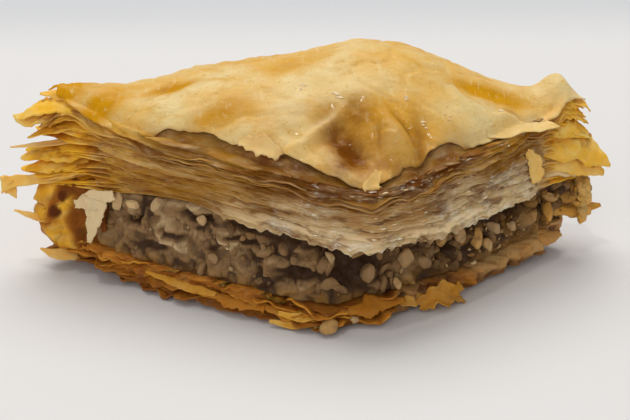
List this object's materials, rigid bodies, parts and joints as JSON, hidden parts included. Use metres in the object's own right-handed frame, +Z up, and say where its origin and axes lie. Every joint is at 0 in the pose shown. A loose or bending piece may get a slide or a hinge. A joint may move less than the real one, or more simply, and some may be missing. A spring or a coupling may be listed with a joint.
{
  "type": "baklava piece",
  "caption": "Diamond-cut piece of nut baklava: browned pastry base, chopped-nut filling and a puffed, glazed stack of thin pastry sheets.",
  "frame": {"origin": "on the surface that the piece rests on, under the middle of its bounding box", "axes": "+X along the diamond's long diagonal, +Y along its short diagonal away from the front corner, +Z up"},
  "size_m": [0.0736, 0.0422, 0.0267],
  "materials": {
    "browned_pastry": "baked orange-brown pastry sheets soaked in syrup, satin",
    "chopped_nuts": "grey-brown chopped nuts bound with dark syrup, moist",
    "glazed_pastry": "pale golden translucent pastry sheets, glossy with syrup"
  },
  "bodies": {
    "root": {"bottom_pastry": "browned_pastry", "nut_filling": "chopped_nuts", "top_pastry": "glazed_pastry"}
  },
  "joints": []
}
